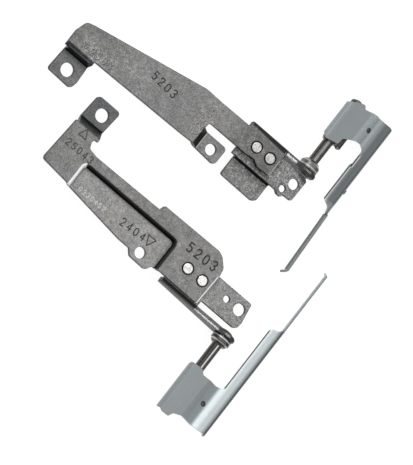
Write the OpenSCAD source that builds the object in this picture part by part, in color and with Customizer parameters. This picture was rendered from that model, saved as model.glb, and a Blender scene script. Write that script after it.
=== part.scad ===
// Pair of laptop hinges, left and right, lying side by side. All sizes in mm, +Z up. The origin is the
// middle of the left hinge's far-ear screw hole.
// Each hinge is drawn with its arm along +X and its shaft along +Y; the right one is mirrored across Y.
// A riveted two-layer base carries the shaft in a turned-down wall, and a stack of friction leaves
// on the shaft carries the display bracket.

/* [View] */
// Which sub-part is drawn ("all" for the whole pair)

/* [Sheets and levels] */
// Sheet thickness of the base brackets
base_sheet = 1.0; // [0.8:0.05:1.1]
// Sheet thickness of the hinge plates and their walls
plate_sheet = 1.1; // [0.9:0.05:1.2]
// Height of the hinge plates' upper face, where the base brackets lie
plate_level = 5.9; // [5.8:0.1:6.4]
// How far the screw ears lie below the base brackets
ear_drop = 2.2; // [1.8:0.1:2.4]
// Depth of the recessed panel in the right base bracket
recess_depth = 1.2; // [0.9:0.1:1.4]
// Width of the slope round the recessed panel
recess_run = 0.5; // [0.4:0.05:0.7]
// Corner radius of the recessed panel
recess_corner = 0.8; // [0.5:0.1:1.2]
// How far the left hinge plate's flap lies below the plate
flap_drop = 1.6; // [1.2:0.1:1.8]
// Outer radius of the bend between plate and wall
wall_bend_r = 1.4; // [1.2:0.1:1.6]

/* [Holes] */
// Radius of the screw holes in the far ears, clearance for an M2.5 screw
far_hole_r = 1.45; // [1.3:0.05:1.6]
// Radius of the screw holes in the mid ears, clearance for an M2 screw
mid_hole_r = 1.2; // [1.1:0.05:1.3]
// Radius of the small locating hole in the hinge plates
locator_hole_r = 0.75; // [0.6:0.05:0.85]
// Radius of the screw hole in the left hinge plate
left_plate_hole_r = 1.15; // [1.0:0.05:1.25]
// Radius of the screw hole in the right hinge plate
right_plate_hole_r = 1.3; // [1.1:0.05:1.4]

/* [Rivets] */
// Radius of the rivet heads
rivet_head_r = 1.05; // [0.95:0.05:1.1]
// Height of the rivet heads above the base bracket
rivet_head_rise = 0.15; // [0.1:0.05:0.3]
// Radius of the rivet shanks
rivet_shank_r = 0.8; // [0.6:0.05:0.85]
// Width of the sunk ring round a rivet head
rivet_ring = 0.25; // [0.15:0.05:0.3]

/* [Shaft] */
// Radius of the shaft inside the friction leaves
shaft_r = 1.1; // [1.0:0.05:1.15]
// Half the width across the two flats of the free part of the shaft
shaft_flat = 0.95; // [0.85:0.05:1.0]
// Radius of the round collar
collar_r = 2.15; // [1.9:0.05:2.2]
// Radius of the wall's eye, which is also the height of the shaft above the table
eye_r = 2.4; // [2.3:0.05:2.4]
// Radius of the bore through the eye
eye_bore_r = 1.3; // [1.25:0.05:1.4]
// Running clearance in radius between the shaft and the leaves
leaf_fit = 0.02; // [0.01:0.005:0.05]
// Clearance in radius of the fixed shaft parts in their bores
seat_fit = 0.01; // [0.01:0.005:0.03]
// Width of the left hinge's collar
left_collar = 2.0; // [1.6:0.1:2.2]
// Width of the right hinge's collar
right_collar = 1.8; // [1.6:0.1:2.2]

/* [Friction stack] */
// Thickness of one friction leaf
leaf_thick = 0.86; // [0.7:0.01:0.87]
// Pitch of the leaves along the shaft
leaf_pitch = 0.9; // [0.88:0.01:0.9]
// Number of leaves in the left hinge
left_leaves = 9; // [6:1:9]
// Number of leaves in the right hinge
right_leaves = 9; // [6:1:9]
// Outer radius of a leaf round the shaft
leaf_r = 1.65; // [1.6:0.05:1.7]
// Radius of the pin through the leaves' tails
pin_r = 0.35; // [0.25:0.05:0.4]
// Thickness of the front washer and of a spring washer
washer_thick = 0.3; // [0.2:0.05:0.35]
// Radius of the washers
washer_r = 1.5; // [1.4:0.05:1.5]
// Radius of the round nut at the shaft's end
nut_r = 1.45; // [1.3:0.05:1.5]
// Thickness of the nut
nut_thick = 1.0; // [0.8:0.1:1.2]

/* [Display brackets] */
// Sheet thickness of the display brackets
display_sheet = 0.55; // [0.45:0.05:0.6]
// Angle of the right display bracket from level, as it lies
right_tilt = 12; // [0:1:15]
// Width of the slope between panel and strip
slope_run = 2.2; // [2.0:0.1:2.4]
// Drop of the slope between panel and strip
slope_drop = 2.0; // [1.6:0.1:2.2]
// Height of the thin blade arm
arm_height = 1.7; // [1.4:0.1:2.0]
// Radius of the small hole in the slope
slope_hole_r = 0.45; // [0.3:0.05:0.55]
// Length of the left blade arm beyond its strip
left_arm = 15.8; // [12:0.2:16.4]
// Length of the right blade arm beyond its strip
right_arm = 15.4; // [12:0.2:16.4]

/* [Placing of the right hinge] */
// Right far-ear hole from the left one, along the arms
right_dx = 11.45; // [10:0.05:12]
// Right far-ear hole from the left one, along the shafts
right_dy = -2.45; // [-4:0.05:-2.4]

/* [Hidden] */
$fn = 64;

steel = [0.42, 0.42, 0.41];
dark_steel = [0.25, 0.25, 0.24];
bright_steel = [0.85, 0.84, 0.80];
satin = [0.66, 0.69, 0.71];
cut = 0.01;          // how far a cutting body reaches past a face
far_reach = 60;      // longer than any sheet is wide

axis_z = eye_r;
base_level = plate_level + base_sheet;
ear_level = base_level - ear_drop;
origin_level = ear_level - base_sheet / 2;
wall_top = plate_level - wall_bend_r;
wall_low = 2.9;      // underside of the wall at its far end

// Places along the arm and the shaft, measured from each hinge's far-ear hole
left_axis_x = 52.2;
right_axis_x = 48.4;
left_wall_y = 17.1;
right_wall_y = 17.9;
left_wall_x = 37;
right_wall_x = 30.4;
left_slot_x = 46.2;
right_slot_x = 39.4;
slot_width = 1.1;    // relief slot between the wall and the plate
left_stack_y = 24.8;
right_stack_y = 26.6;
left_strip_end = 15;
right_strip_end = 10.3;
strip_x = 6.5;
left_over = 1.6;     // how far the left panel reaches past the last leaf
right_over = 1.4;    // and the right one, beside the nut
flap_x0 = 38.2;
flap_x1 = 47.4;
left_rivet_at = [[40.1, 12.9], [43.7, 12.9]];
right_rivet_at = [[32.8, 12.7], [36.7, 12.7]];
left_mid_hole = [33.4, 6.8];
mid_y0 = 5.05;       // sides of the left mid ear
mid_y1 = 9.05;
right_mid_hole = [23.3, 16.4];
recess_x0 = 3.4;
recess_x1 = 27.5;
recess_y = 10.3;
left_locator = [49.8, 10.1];
right_locator = [43.3, 12.1];
left_plate_hole = [51.1, 12.3];
right_plate_hole = [46.7, 12.1];

pin_x = 2.4;
pin_z = -0.8;
tail_half = 0.7;
panel_edge = -(leaf_r + 0.05 + display_sheet);
panel_top = leaf_r + 0.05 + display_sheet;
slope_x = 3.5;
strip_z = panel_top - slope_drop;
left_blade_x = 9.1;
right_blade_x = 9.3;
bend_r = 1.1;
rim_stop = 0.8;
lug_x = 1.85;
lug_low = -1.6;
lug_width = 1.4;
nut_gap = 0.05;

// Corner [x, y, r] of an outline turned into the points of its fillet
function flat2(p) = [p[0], p[1]];
function unit(v) = v / norm(v);
function fillet(a, b, c, steps = 5) =
    let (p = flat2(b), u = unit(flat2(a) - p), v = unit(flat2(c) - p), k = u * v)
    (b[2] == 0 || abs(k) > 0.9995) ? [p] :
    let (half = acos(k) / 2, w = unit(u + v), r = b[2], o = p + w * r / sin(half), m = 90 - half,
         turn = (u[0] * v[1] - u[1] * v[0]) > 0 ? 1 : -1)
    [for (i = [0:steps]) let (q = turn * (m - 2 * m * i / steps))
        o - r * [w[0] * cos(q) - w[1] * sin(q), w[0] * sin(q) + w[1] * cos(q)]];

// Closed outline with rounded corners
function rounded(c) = [for (i = [0:len(c) - 1])
    each fillet(c[(i + len(c) - 1) % len(c)], c[i], c[(i + 1) % len(c)])];

// Open path with rounded inner corners
function path(c) = [for (i = [0:len(c) - 1])
    each (i == 0 || i == len(c) - 1) ? [flat2(c[i])] : fillet(c[i - 1], c[i], c[i + 1])];

function right_of(d) = [d[1], -d[0]];
function shifted(c, i, t) =
    let (n = len(c) - 1, p = flat2(c[i]),
         n1 = right_of(unit(i == 0 ? flat2(c[1]) - p : p - flat2(c[i - 1]))),
         n2 = right_of(unit(i == n ? p - flat2(c[n - 1]) : flat2(c[i + 1]) - p)),
         q = p + t * (n1 + n2) / (1 + n1 * n2),
         cw = n1[0] * n2[1] - n1[1] * n2[0] < 0)
    [q[0], q[1], c[i][2] == 0 ? 0 : max(0.05, c[i][2] + (cw ? -t : t))];

// Bent strip of thickness t below its upper line c, as a closed polygon
function band(c, t) =
    let (low = path([for (i = [0:len(c) - 1]) shifted(c, i, t)]))
    concat(path(c), [for (i = [len(low) - 1:-1:0]) low[i]]);

// A profile given in (x, z), drawn from y0 to y1
module along_y(points, y0, y1) {
    translate([0, y1, 0])
        rotate([90, 0, 0])
            linear_extrude(height = y1 - y0)
                polygon(points);
}

// A profile given in (y, z), drawn from x0 to x1
module along_x(points, x0, x1) {
    translate([x0, 0, 0])
        rotate([90, 0, 90])
            linear_extrude(height = x1 - x0)
                polygon(points);
}

module sheet(outline, top, thick) {
    translate([0, 0, top - thick])
        linear_extrude(height = thick)
            polygon(rounded(outline));
}

module hole(at, r) {
    translate([at[0], at[1], -cut])
        cylinder(r = r, h = base_level + 1);
}

// Round body along the shaft from y0 to y1, on the axis
module rod(x, r, y0, y1) {
    translate([x, y1, axis_z])
        rotate([90, 0, 0])
            cylinder(r = r, h = y1 - y0);
}

// Turned body along the shaft: profile of [radius, y] corners
module turned(x, profile) {
    translate([x, 0, axis_z])
        rotate([-90, 0, 0])
            rotate_extrude()
                polygon(profile);
}

// Drawn with the table at Z = 0, each hinge is then set with the left far-ear hole at the origin
module left_place() {
    translate([0, 0, -origin_level])
        children();
}

module right_place() {
    translate([right_dx, right_dy, -origin_level])
        mirror([0, 1, 0])
            children();
}

// Sunk seats and shank holes of the rivets in a base bracket
module rivet_seats(at) {
    for (p = at) {
        hole(p, rivet_shank_r + seat_fit);
        translate([p[0], p[1], base_level - base_sheet / 2])
            cylinder(r = rivet_head_r + rivet_ring, h = base_sheet);
    }
}

module left_base_bracket() {
    body = [[-4, 3.4, 0], [-4, 7, 0.6], [-3.2, 9.6, 0.7], [-1.5, 10.1, 0.8], [24.7, 15.3, 4],
            [28.6, 15.2, 2], [36.2, 15.3, 0.5], [36.7, 16.4, 0.3], [45.8, 16.2, 0.3], [45.7, 10, 0.4],
            [42.6, 9.9, 0.4], [41.2, 10.7, 0.6], [38.9, 10.4, 1], [29.4, 10.4, 0.6], [29.2, mid_y1, 0],
            [29.2, mid_y0, 0], [25.9, 4.9, 2], [3, 4.4, 0.4], [3, 3.4, 0]];
    far_ear = [[-3.1, 3, 0], [-3.4, -2.3, 0.7], [2.8, -2.5, 0.8], [3.2, -0.8, 0.6], [3, 3, 0]];
    mid_ear = [[30.6, mid_y0, 0], [35.9, mid_y0 - 0.3, 0.8], [36, mid_y1, 0.8], [30.6, mid_y1, 0]];
    color(steel)
    left_place()
    difference() {
        union() {
            sheet(body, base_level, base_sheet);
            sheet(far_ear, ear_level, base_sheet);
            sheet(mid_ear, ear_level, base_sheet);
            along_x(band([[2.6, ear_level, 0], [3, ear_level, 0.3], [3.4, base_level, 0.4],
                          [4.4, base_level, 0]], base_sheet), -3.1, 3);
            along_y(band([[28.4, base_level, 0], [29.2, base_level, 0.8], [30.6, ear_level, 0.5],
                          [31.4, ear_level, 0]], base_sheet), mid_y0, mid_y1);
        }
        hole([0, 0], far_hole_r);
        hole(left_mid_hole, mid_hole_r);
        rivet_seats(left_rivet_at);
    }
}

module right_base_bracket() {
    body = [[-4.1, 4.4, 0], [-4.8, 14.8, 0.8], [2.7, 15.4, 1], [18.2, 17.1, 3], [20.9, 17.1, 0.5],
            [22, 18.3, 0.8], [26.2, 18.4, 0.9], [27, 16.9, 0.6], [29.2, 16.9, 0.3], [38.7, 17, 0.3],
            [39, 9.8, 1.5], [38.7, 8, 1.5], [37, 6.3, 1.5], [35.8, 5.8, 1], [21.2, 6, 0.4],
            [20.8, 7.3, 0.4], [3.9, 7.6, 2], [1.7, 7.2, 0.7], [1.2, 6, 0.6], [1.6, 4.5, 0]];
    ear = [[-3.4, 2.6, 0], [-3, -2.8, 0.8], [2.8, -2.8, 0.8], [2.3, 2.6, 0]];
    color(steel)
    right_place()
    difference() {
        union() {
            intersection() {
                translate([0, 0, base_level - recess_depth - base_sheet])
                    linear_extrude(height = recess_depth + base_sheet)
                        polygon(rounded(body));
                recessed_sheet(recess_x0, recess_x1, recess_y);
            }
            sheet(ear, ear_level, base_sheet);
            along_x(band([[2.2, ear_level, 0], [2.7, ear_level, 0.6], [4.5, base_level, 0.6],
                          [5.2, base_level, 0]], base_sheet), -3.4, 2.2);
        }
        hole([0, 0], far_hole_r);
        hole(right_mid_hole, mid_hole_r);
        rivet_seats(right_rivet_at);
    }
}

// Wide sheet with a panel sunk between x0 and x1 and from y on, inside one unbroken slope
module recessed_sheet(x0, x1, y) {
    low = base_level - recess_depth;
    lap = recess_run + 0.5;
    r = recess_corner;
    slope = band([[-r, low, 0], [0, low, 0.4], [recess_run, base_level, 0.4], [lap + 0.3, base_level, 0]],
                 base_sheet);
    rim = [[x0 - lap, far_reach, 0], [x0 - lap, y - lap, r + lap], [x1 + lap, y - lap, r + lap],
           [x1 + lap, far_reach, 0]];
    difference() {
        translate([-far_reach, -far_reach, base_level - base_sheet])
            cube([2 * far_reach, 2 * far_reach - cut, base_sheet]);
        translate([0, 0, -cut])
            linear_extrude(height = base_level + 1)
                polygon(rounded(rim));
    }
    translate([x0 + r - cut, y + r - cut, low - base_sheet])
        cube([x1 - x0 - 2 * (r - cut), far_reach - y - r, base_sheet]);
    along_y([for (p = slope) [x0 - p[0], p[1]]], y + r, far_reach - cut);
    along_y([for (p = slope) [x1 + p[0], p[1]]], y + r, far_reach - cut);
    along_x([for (p = slope) [y - p[0], p[1]]], x0 + r, x1 - r);
    for (corner = [[x0 + r, 180], [x1 - r, 270]]) {
        translate([corner[0], y + r, 0])
            rotate([0, 0, corner[1]])
                rotate_extrude(angle = 90)
                    polygon([for (p = slope) [r + p[0], p[1]]]);
    }
}

// Wall turned down from the plate's edge, with its eye; outer face at y
module wall(x0, slot_x, axis_x, y) {
    // quarter bend between plate and wall
    intersection() {
        translate([x0, y - wall_bend_r, wall_top])
            cube([slot_x - x0, wall_bend_r, wall_bend_r]);
        difference() {
            translate([x0, y - wall_bend_r, wall_top])
                rotate([0, 90, 0])
                    cylinder(r = wall_bend_r, h = slot_x - x0);
            translate([x0 - 1, y - wall_bend_r, wall_top])
                rotate([0, 90, 0])
                    cylinder(r = wall_bend_r - plate_sheet, h = slot_x - x0 + 2);
        }
    }
    difference() {
        union() {
            along_y([[x0, wall_low], [x0, wall_top], [axis_x - eye_r, wall_top],
                     [axis_x, wall_top - 0.1], [axis_x, 0.1], [axis_x - eye_r, 0.4]],
                    y - plate_sheet, y);
            // eye with broken edges
            turned(axis_x, [[0, y - plate_sheet], [eye_r - 0.3, y - plate_sheet],
                            [eye_r, y - plate_sheet + 0.3], [eye_r, y - 0.3], [eye_r - 0.3, y], [0, y]]);
        }
        rod(axis_x, eye_bore_r, y - plate_sheet - 1, y + 1);
    }
}

module left_hinge_plate() {
    lap = left_wall_y - wall_bend_r;
    inner = left_wall_y - plate_sheet;
    body = [[left_wall_x, 9, 0.2], [flap_x1, 9, 0.3], [48.8, 9, 0.5], [49.5, 8.5, 0.4], [50.4, 8.5, 0.4],
            [50.9, 9.2, 0.2], [52.8, 9.3, 0.4], [52.9, 14.3, 0.4], [52.2, inner - slot_width, 0.3],
            [left_slot_x, inner - slot_width, 0.3], [left_slot_x, lap + cut, 0], [left_wall_x, lap + cut, 0]];
    flap = [[flap_x0, 8.8, 0], [flap_x0, 4.5, 0.5], [flap_x1, 4.4, 1.1], [flap_x1, 8.8, 0]];
    flap_level = plate_level - flap_drop;
    color(steel)
    left_place()
    difference() {
        union() {
            sheet(body, plate_level, plate_sheet);
            sheet(flap, flap_level, plate_sheet);
            along_x(band([[8.3, flap_level, 0], [8.8, flap_level, 0.3], [9.2, plate_level, 0.4],
                          [9.9, plate_level, 0]], plate_sheet), flap_x0, flap_x1);
            wall(left_wall_x, left_slot_x, left_axis_x, left_wall_y);
        }
        for (p = left_rivet_at) {
            hole(p, rivet_shank_r + seat_fit);
        }
        hole(left_locator, locator_hole_r);
        hole(left_plate_hole, left_plate_hole_r);
    }
}

module right_hinge_plate() {
    lap = right_wall_y - wall_bend_r;
    inner = right_wall_y - plate_sheet;
    body = [[right_wall_x, 9.6, 0.4], [48.1, 9.6, 0.5], [48.8, 13.9, 0.5], [48.6, inner - slot_width, 1],
            [right_slot_x, inner - slot_width, 0.3], [right_slot_x, lap + cut, 0], [right_wall_x, lap + cut, 0]];
    color(steel)
    right_place()
    difference() {
        union() {
            sheet(body, plate_level, plate_sheet);
            wall(right_wall_x, right_slot_x, right_axis_x, right_wall_y);
        }
        for (p = right_rivet_at) {
            hole(p, rivet_shank_r + seat_fit);
        }
        hole(right_locator, locator_hole_r);
        hole(right_plate_hole, right_plate_hole_r);
    }
}

// Two separate rivets: head in the base bracket's sunk seat, shank, and foot under the plate
module rivets(at) {
    seat = base_level - base_sheet / 2;
    foot = plate_level - plate_sheet;
    for (p = at) {
        translate([p[0], p[1], 0])
            rotate_extrude()
                polygon([[0, foot - 0.4], [rivet_head_r, foot - 0.4], [rivet_head_r, foot],
                         [rivet_shank_r, foot], [rivet_shank_r, seat], [rivet_head_r, seat],
                         [rivet_head_r, base_level + rivet_head_rise / 2],
                         [rivet_head_r - 0.12, base_level + rivet_head_rise],
                         [0, base_level + rivet_head_rise]]);
    }
}

module left_rivets() {
    color(bright_steel)
    left_place()
    rivets(left_rivet_at);
}

module right_rivets() {
    color(bright_steel)
    right_place()
    rivets(right_rivet_at);
}

// End of a stack of leaves that starts at y
function stack_end(y, count) = y + (count - 1) * leaf_pitch + leaf_thick;

// Shaft: swaged head inside the wall, spigot in the eye, collar, flatted free part, round friction
// part and thinner end for the nut
module shaft(x, wall_y, collar, stack_y, count) {
    inner = wall_y - plate_sheet;
    spigot = eye_bore_r - seat_fit;
    free_y = wall_y + collar;
    washer_y = stack_y - washer_thick - nut_gap;
    stack_y1 = stack_end(stack_y, count) + nut_gap / 2;
    end_y = stack_end(stack_y, count) + 2 * washer_thick + 4 * nut_gap + nut_thick;
    end_r = shaft_r - 0.3;
    difference() {
        turned(x, [[0, inner - 0.5], [0.8, inner - 0.5], [1.2, inner - 0.4], [1.6, inner],
                   [spigot, inner], [spigot, wall_y], [collar_r - 0.1, wall_y], [collar_r, wall_y + 0.1],
                   [collar_r, free_y - 0.7], [collar_r - 0.6, free_y], [shaft_r, free_y],
                   [shaft_r, stack_y1], [end_r, stack_y1], [end_r, end_y - 0.15],
                   [end_r - 0.15, end_y + 0.2], [0, end_y + 0.2]]);
        for (side = [1, -1]) {
            translate([x - shaft_r - 1, free_y, axis_z + (side > 0 ? shaft_flat : -shaft_flat - 1)])
                cube([2 * shaft_r + 2, washer_y + washer_thick - free_y, 1]);
        }
    }
}

module left_shaft() {
    color(dark_steel)
    left_place()
    shaft(left_axis_x, left_wall_y, left_collar, left_stack_y, left_leaves);
}

module right_shaft() {
    color(dark_steel)
    right_place()
    shaft(right_axis_x, right_wall_y, right_collar, right_stack_y, right_leaves);
}

// Front washer, keyed on the shaft's flats
module front_washer(x, stack_y) {
    y0 = stack_y - washer_thick - nut_gap;
    keyed = shaft_flat + seat_fit;
    difference() {
        rod(x, washer_r, y0, y0 + washer_thick);
        intersection() {
            rod(x, shaft_r + seat_fit, y0 - 1, y0 + washer_thick + 1);
            translate([x - shaft_r - 1, y0 - 1, axis_z - keyed])
                cube([2 * shaft_r + 2, washer_thick + 2, 2 * keyed]);
        }
    }
}

module left_front_washer() {
    color(dark_steel)
    left_place()
    front_washer(left_axis_x, left_stack_y);
}

module right_front_washer() {
    color(dark_steel)
    right_place()
    front_washer(right_axis_x, right_stack_y);
}

// Turns a display-side body about the shaft
module turned_to(x, angle) {
    translate([x, 0, axis_z])
        rotate([0, -angle, 0])
            children();
}

// Friction leaves: sprung rings round the shaft with tails for the pin, each a separate solid
module friction_leaves(stack_y, count) {
    for (i = [0:count - 1]) {
        y0 = stack_y + i * leaf_pitch;
        y1 = y0 + leaf_thick;
        difference() {
            union() {
                translate([0, y1, 0])
                    rotate([90, 0, 0])
                        cylinder(r = leaf_r, h = leaf_thick);
                translate([0, y0, pin_z - tail_half])
                    cube([pin_x, leaf_thick, 2 * tail_half]);
                translate([pin_x, y1, pin_z])
                    rotate([90, 0, 0])
                        cylinder(r = tail_half, h = leaf_thick);
            }
            translate([0, y1 + 1, 0])
                rotate([90, 0, 0])
                    cylinder(r = shaft_r + leaf_fit, h = leaf_thick + 2);
            translate([pin_x, y1 + 1, pin_z])
                rotate([90, 0, 0])
                    cylinder(r = pin_r + seat_fit, h = leaf_thick + 2);
            // the ring's spring slot, on alternate sides
            rotate([0, i % 2 == 0 ? 200 : 160, 0])
                translate([0, y0 - 1, -0.15])
                    cube([leaf_r + 1, leaf_thick + 2, 0.3]);
        }
    }
}

module left_friction_leaves() {
    color(dark_steel)
    left_place()
    turned_to(left_axis_x, 0)
    friction_leaves(left_stack_y, left_leaves);
}

module right_friction_leaves() {
    color(dark_steel)
    right_place()
    turned_to(right_axis_x, right_tilt)
    friction_leaves(right_stack_y, right_leaves);
}

// Pin through the leaves' tails into the display bracket's lug, with a domed head in front
module leaf_pin(stack_y, count) {
    y1 = stack_end(stack_y, count) + nut_gap + display_sheet + 0.2;
    translate([pin_x, 0, pin_z])
        rotate([-90, 0, 0])
            rotate_extrude()
                polygon([[0, stack_y - 0.35], [pin_r * 0.8, stack_y - 0.35], [pin_r + 0.25, stack_y - 0.1],
                         [pin_r + 0.25, stack_y], [pin_r, stack_y], [pin_r, y1 - 0.1],
                         [pin_r - 0.1, y1], [0, y1]]);
}

module left_leaf_pin() {
    color(bright_steel)
    left_place()
    turned_to(left_axis_x, 0)
    leaf_pin(left_stack_y, left_leaves);
}

module right_leaf_pin() {
    color(bright_steel)
    right_place()
    turned_to(right_axis_x, right_tilt)
    leaf_pin(right_stack_y, right_leaves);
}

// Two cupped spring washers between the last leaf and the nut
module spring_washers(x, stack_y, count) {
    bore = shaft_r - 0.3 + seat_fit;
    for (i = [0:1]) {
        y0 = stack_end(stack_y, count) + nut_gap + i * (washer_thick + nut_gap);
        difference() {
            rod(x, washer_r - 0.1 * i, y0, y0 + washer_thick);
            rod(x, bore, y0 - 1, y0 + washer_thick + 1);
        }
    }
}

module left_spring_washers() {
    color(dark_steel)
    left_place()
    spring_washers(left_axis_x, left_stack_y, left_leaves);
}

module right_spring_washers() {
    color(dark_steel)
    right_place()
    spring_washers(right_axis_x, right_stack_y, right_leaves);
}

module shaft_nut(x, stack_y, count) {
    y0 = stack_end(stack_y, count) + 2 * washer_thick + 3 * nut_gap;
    bore = shaft_r - 0.3 + seat_fit;
    turned(x, [[bore, y0], [nut_r, y0], [nut_r, y0 + nut_thick - 0.25], [nut_r - 0.25, y0 + nut_thick],
               [bore, y0 + nut_thick]]);
}

module left_shaft_nut() {
    color(dark_steel)
    left_place()
    shaft_nut(left_axis_x, left_stack_y, left_leaves);
}

module right_shaft_nut() {
    color(dark_steel)
    right_place()
    shaft_nut(right_axis_x, right_stack_y, right_leaves);
}

// Display bracket in its own frame, shaft at the origin: panel over the leaves, slope, strip, and a
// blade turned down at the outer edge that runs on as a thin arm
module display_bracket(outline, blade_x, flare, hole_y, lug_y, arm_y0, arm_y1, drift, hook) {
    low = -axis_z;
    section = [[panel_edge, rim_stop, 0], [panel_edge, panel_top, bend_r], [slope_x, panel_top, bend_r],
               [slope_x + slope_run, strip_z, bend_r], [blade_x, strip_z, bend_r], [blade_x + flare, low, 0]];
    arm_x = blade_x + 0.7 * flare;
    tip_x = arm_x + drift;
    inner_x = tip_x - display_sheet;
    difference() {
        union() {
            intersection() {
                along_y(band(section, display_sheet), -far_reach, far_reach);
                translate([0, 0, low])
                    linear_extrude(height = panel_top - low)
                        polygon(rounded(outline));
            }
            translate([0, 0, low])
                linear_extrude(height = arm_height)
                    polygon([[arm_x - display_sheet, arm_y1], [inner_x, arm_y0], [tip_x, arm_y0],
                             [arm_x, arm_y1]]);
            // hooked tip of the arm
            translate([0, 0, low + arm_height - 0.9])
                linear_extrude(height = 0.9)
                    polygon([[inner_x, arm_y0], [inner_x - 0.2 * hook, arm_y0 - 0.5 * hook],
                             [inner_x - 0.8 * hook, arm_y0 - hook], [inner_x - 0.6 * hook, arm_y0 - 1.5 * hook],
                             [inner_x + 0.1 * hook, arm_y0 - hook], [tip_x, arm_y0 - 0.3 * hook],
                             [tip_x, arm_y0]]);
            translate([lug_x, lug_y, lug_low])
                cube([lug_width, display_sheet, panel_top - display_sheet / 2 - lug_low]);
        }
        translate([slope_x + slope_run * 0.7, hole_y, -axis_z])
            cylinder(r = slope_hole_r, h = panel_top + axis_z + 1);
        translate([pin_x, lug_y + display_sheet + 1, pin_z])
            rotate([90, 0, 0])
                cylinder(r = pin_r + seat_fit, h = display_sheet + 2);
    }
}

module left_display_bracket() {
    near = left_stack_y;
    far = stack_end(left_stack_y, left_leaves) + left_over;
    strip_end = left_strip_end;
    outline = [[-4, near + 0.4, 0], [-2.1, near + 0.4, 0.5], [-1.4, near - 0.6, 0.4], [1.3, near + 0.1, 0.3],
               [1.5, near + 1.6, 0.3], [2.6, near + 2.2, 0.5], [4.2, near + 3.1, 0.5], [5.6, near + 3.5, 0.6],
               [strip_x + 0.3, near + 2.8, 0.8], [strip_x + 0.3, near - 0.5, 0.1], [strip_x, near - 0.9, 0.1],
               [strip_x, strip_end, 0.4], [8.2, strip_end - 0.8, 0.8], [8.7, strip_end - 2.2, 0.5],
               [10.5, strip_end - 2.2, 0], [10.5, far - 2, 0], [9.6, far + 0.5, 1.8], [4.8, far + 0.4, 0.6],
               [2, far - 0.4, 0.3], [1.5, far - 0.5, 0.2], [0.9, far + 0.2, 0.3], [-0.5, far - 0.3, 0.4],
               [-2.2, far - 1.4, 0.6], [-4, far - 1.4, 0]];
    lug_y = stack_end(left_stack_y, left_leaves) + nut_gap;
    color(satin)
    left_place()
    turned_to(left_axis_x, 0)
    union() {
        display_bracket(outline, left_blade_x, 0.7, near + 6.6, lug_y, strip_end - left_arm, strip_end - 2, 0.6, 0.9);
        // half-sheared nib on the outer face of the blade
        translate([left_blade_x, 18.4, strip_z - 1.3])
            cube([0.45, 0.9, 0.5]);
    }
}

module right_display_bracket() {
    near = right_stack_y;
    far = stack_end(right_stack_y, right_leaves) + right_over;
    strip_end = right_strip_end;
    outline = [[-4, near + 0.6, 0], [-2.6, near + 0.6, 0.5], [-2, near - 0.6, 0.5], [0.6, near - 0.7, 0.4],
               [1.4, near + 0.2, 0.3], [4.9, near + 0.2, 0.4], [strip_x, near - 0.4, 1.2],
               [strip_x, strip_end, 0.8], [8.2, strip_end - 0.3, 0.8], [8.7, strip_end - 1.2, 0.4],
               [10, strip_end - 1.2, 0], [10, far - 0.2, 0], [4.9, far, 0.4], [2.9, far, 0.4],
               [1.4, far + 0.6, 0.4], [0.9, far + 1.7, 0.4], [-0.8, far + 1.7, 0.2], [-1.4, far + 1.3, 0.2],
               [-4, far + 1.3, 0]];
    lug_y = stack_end(right_stack_y, right_leaves) + nut_gap;
    color(satin)
    right_place()
    turned_to(right_axis_x, right_tilt)
    display_bracket(outline, right_blade_x, 0, near + 4.6, lug_y, strip_end - right_arm, strip_end - 1, 0, 0.5);
}

left_base_bracket();
right_base_bracket();
left_hinge_plate();
right_hinge_plate();
left_rivets();
right_rivets();
left_shaft();
right_shaft();
left_front_washer();
right_front_washer();
left_friction_leaves();
right_friction_leaves();
left_leaf_pin();
right_leaf_pin();
left_spring_washers();
right_spring_washers();
left_shaft_nut();
right_shaft_nut();
left_display_bracket();
right_display_bracket();
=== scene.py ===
import bpy
import math
from mathutils import Matrix, Vector


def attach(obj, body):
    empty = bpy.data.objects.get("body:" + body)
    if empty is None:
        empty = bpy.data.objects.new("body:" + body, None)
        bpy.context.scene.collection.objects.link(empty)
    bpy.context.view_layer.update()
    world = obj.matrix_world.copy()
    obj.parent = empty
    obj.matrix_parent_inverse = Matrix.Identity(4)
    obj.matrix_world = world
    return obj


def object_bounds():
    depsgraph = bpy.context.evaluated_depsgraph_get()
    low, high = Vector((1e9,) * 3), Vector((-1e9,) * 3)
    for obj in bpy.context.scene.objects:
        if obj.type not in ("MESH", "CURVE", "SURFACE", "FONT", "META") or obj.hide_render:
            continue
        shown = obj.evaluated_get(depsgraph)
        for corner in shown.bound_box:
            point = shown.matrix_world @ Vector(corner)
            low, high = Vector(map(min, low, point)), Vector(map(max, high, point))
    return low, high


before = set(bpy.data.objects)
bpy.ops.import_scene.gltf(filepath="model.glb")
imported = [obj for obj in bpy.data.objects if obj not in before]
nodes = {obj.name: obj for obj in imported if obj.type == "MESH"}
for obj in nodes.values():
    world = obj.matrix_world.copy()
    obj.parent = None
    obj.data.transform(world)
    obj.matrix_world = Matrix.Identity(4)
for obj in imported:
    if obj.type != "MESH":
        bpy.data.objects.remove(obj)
cad_box = [list(v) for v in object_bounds()]

# Sizes and places: mm and degrees in the part's frame, unless a comment says otherwise

MM = 0.001              # metres in one millimetre
LIFT = 4.2              # the origin's height above the table
BASE_Z = 6.9 - LIFT     # upper faces of the base brackets
RECESS_DEPTH = 1.2
PANEL_Z = BASE_Z - RECESS_DEPTH
EAR_Z = 0.5             # upper faces of the screw ears
WALL_Z = 0.3            # top edges of the hinge plates' walls
WALL_HALF = 0.56        # half the walls' thickness and a little over
AXIS_Z = 2.4 - LIFT     # the shafts' axes
EAR_BEND_Y = (2.85, 4.3)    # the left far ear's bend
FLAT_Y = (0.2, 6.2)     # the shafts' flatted part, from the collar's far face

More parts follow.
